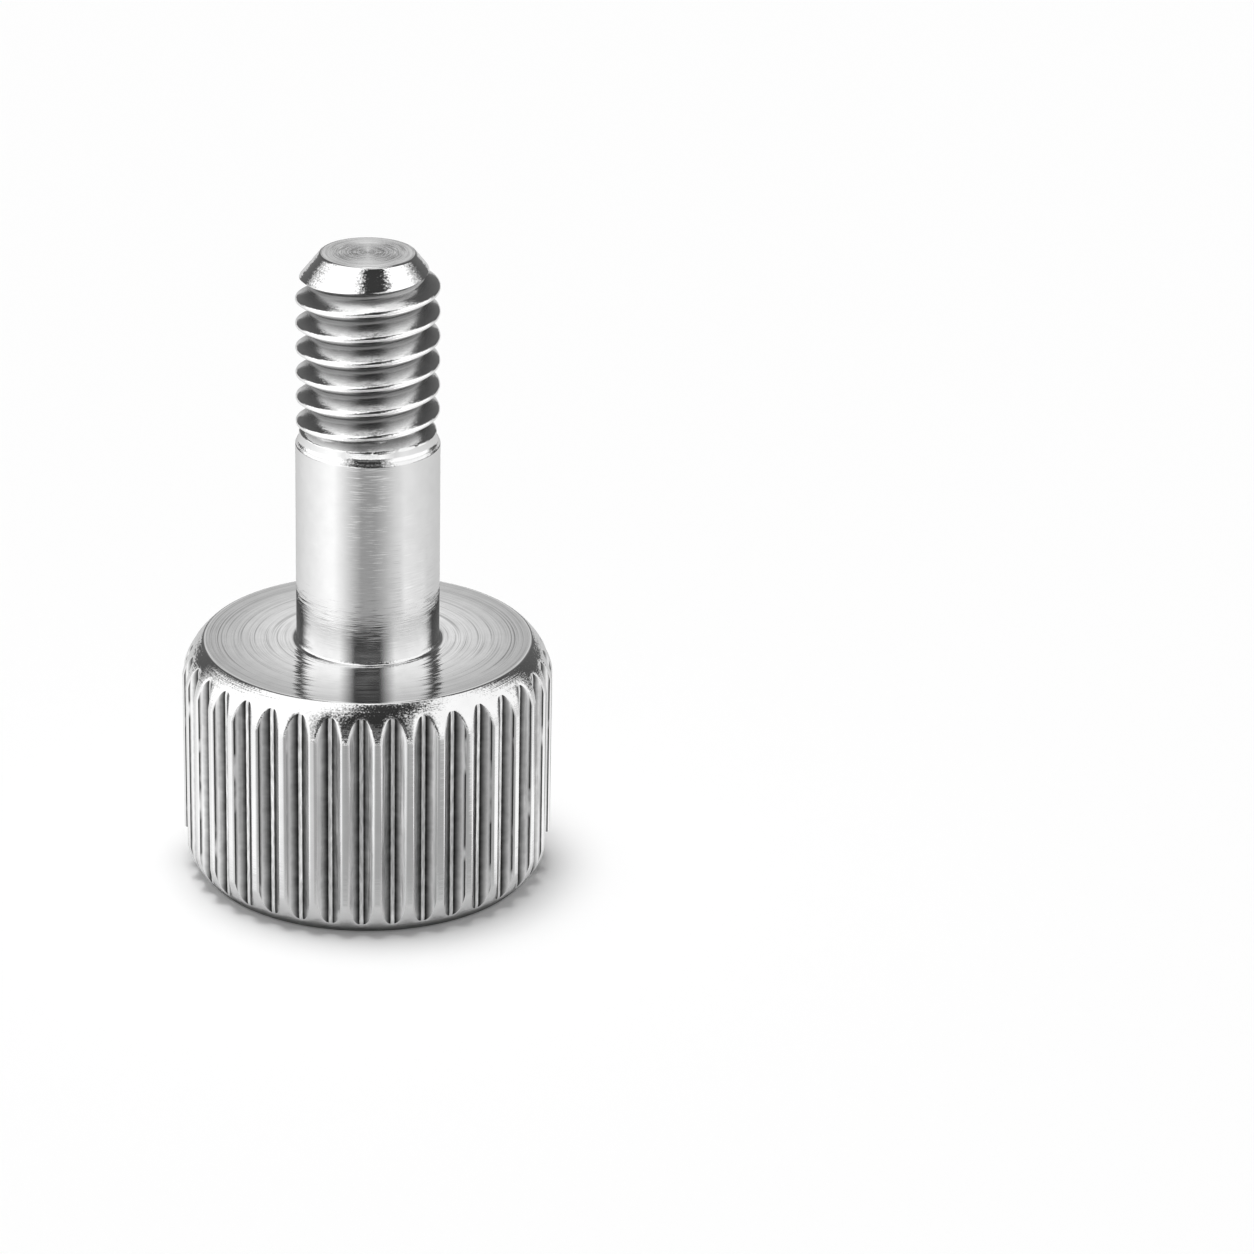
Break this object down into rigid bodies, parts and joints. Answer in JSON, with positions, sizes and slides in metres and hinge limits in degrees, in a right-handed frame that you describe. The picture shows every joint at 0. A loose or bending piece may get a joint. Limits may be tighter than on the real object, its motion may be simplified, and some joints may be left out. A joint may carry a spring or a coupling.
{
  "type": "knurled thumb screw",
  "caption": "Turned thumb screw with a straight-knurled cylindrical head, a screwdriver slot in its end face, a plain shank and a chamfered fine threaded end.",
  "frame": {"origin": "centre of the slotted end face of the head, on which the screw stands", "axes": "+Z along the screw's axis from the head to the threaded tip; +X along the screwdriver slot"},
  "size_m": [0.0102, 0.0102, 0.018],
  "materials": {
    "steel": "turned, bright"
  },
  "bodies": {
    "root": {"thumb_screw": "steel"}
  },
  "joints": []
}
